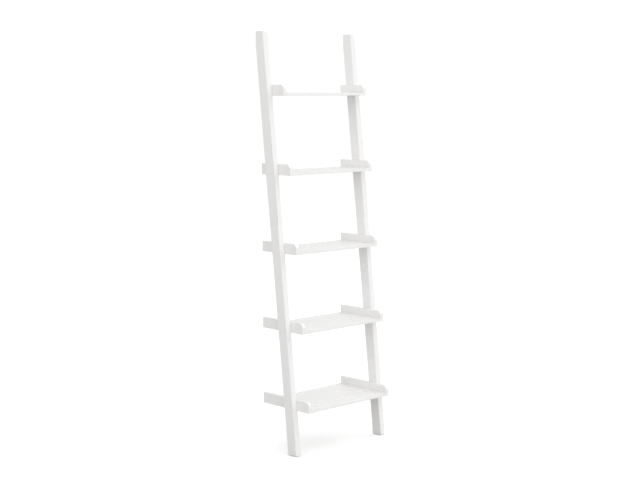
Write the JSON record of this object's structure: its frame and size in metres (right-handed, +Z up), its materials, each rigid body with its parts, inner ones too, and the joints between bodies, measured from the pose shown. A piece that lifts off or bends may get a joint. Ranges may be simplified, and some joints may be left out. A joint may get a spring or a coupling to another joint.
{
  "type": "ladder shelf",
  "caption": "White leaning ladder shelf: two raked posts, each spliced from two lengths, carry tray shelves with side cheeks that get deeper towards the floor.",
  "frame": {"origin": "where the wall meets the floor, midway between the two posts", "axes": "+X to the right seen from the front, +Y back towards the wall, +Z up"},
  "size_m": [0.56, 0.3, 1.85],
  "materials": {
    "post_lacquer": "white satin lacquer over planed wood",
    "board_lacquer": "white semi-gloss lacquer over board",
    "cheek_lacquer": "white semi-gloss lacquer over board",
    "connecting_screw_zinc": "zinc-plated steel",
    "dowel_beech": "bare beech",
    "splice_bolt_zinc": "zinc-plated steel",
    "cam_cast_zinc": "die-cast zinc, as cast",
    "hanger_plate_zinc": "zinc-plated steel sheet",
    "hanger_screw_zinc": "zinc-plated steel",
    "foot_pad_rubber": "translucent grey anti-slip rubber"
  },
  "bodies": {
    "root": {"left_post_lower": "post_lacquer", "left_post_upper": "post_lacquer", "right_post_lower": "post_lacquer", "right_post_upper": "post_lacquer", "shelf_1_board": "board_lacquer", "shelf_1_left_cheek": "cheek_lacquer", "shelf_1_right_cheek": "cheek_lacquer", "shelf_2_board": "board_lacquer", "shelf_2_left_cheek": "cheek_lacquer", "shelf_2_right_cheek": "cheek_lacquer", "shelf_3_board": "board_lacquer", "shelf_3_left_cheek": "cheek_lacquer", "shelf_3_right_cheek": "cheek_lacquer", "shelf_4_board": "board_lacquer", "shelf_4_left_cheek": "cheek_lacquer", "shelf_4_right_cheek": "cheek_lacquer", "shelf_5_board": "board_lacquer", "shelf_5_left_cheek": "cheek_lacquer", "shelf_5_right_cheek": "cheek_lacquer", "shelf_1_left_screw_front": "connecting_screw_zinc", "shelf_1_left_screw_rear": "connecting_screw_zinc", "shelf_1_right_screw_front": "connecting_screw_zinc", "shelf_1_right_screw_rear": "connecting_screw_zinc", "shelf_2_left_screw_front": "connecting_screw_zinc", "shelf_2_left_screw_rear": "connecting_screw_zinc", "shelf_2_right_screw_front": "connecting_screw_zinc", "shelf_2_right_screw_rear": "connecting_screw_zinc", "shelf_3_left_screw_front": "connecting_screw_zinc", "shelf_3_left_screw_rear": "connecting_screw_zinc", "shelf_3_right_screw_front": "connecting_screw_zinc", "shelf_3_right_screw_rear": "connecting_screw_zinc", "shelf_4_left_screw_front": "connecting_screw_zinc", "shelf_4_left_screw_rear": "connecting_screw_zinc", "shelf_4_right_screw_front": "connecting_screw_zinc", "shelf_4_right_screw_rear": "connecting_screw_zinc", "shelf_5_left_screw_front": "connecting_screw_zinc", "shelf_5_left_screw_rear": "connecting_screw_zinc", "shelf_5_right_screw_front": "connecting_screw_zinc", "shelf_5_right_screw_rear": "connecting_screw_zinc", "left_splice_dowel_front": "dowel_beech", "left_splice_dowel_rear": "dowel_beech", "left_splice_bolt": "splice_bolt_zinc", "left_splice_cam": "cam_cast_zinc", "left_wall_hanger_plate": "hanger_plate_zinc", "left_hanger_screw_upper": "hanger_screw_zinc", "left_hanger_screw_lower": "hanger_screw_zinc", "left_foot_pad": "foot_pad_rubber", "right_splice_dowel_front": "dowel_beech", "right_splice_dowel_rear": "dowel_beech", "right_splice_bolt": "splice_bolt_zinc", "right_splice_cam": "cam_cast_zinc", "right_wall_hanger_plate": "hanger_plate_zinc", "right_hanger_screw_upper": "hanger_screw_zinc", "right_hanger_screw_lower": "hanger_screw_zinc", "right_foot_pad": "foot_pad_rubber"}
  },
  "joints": []
}
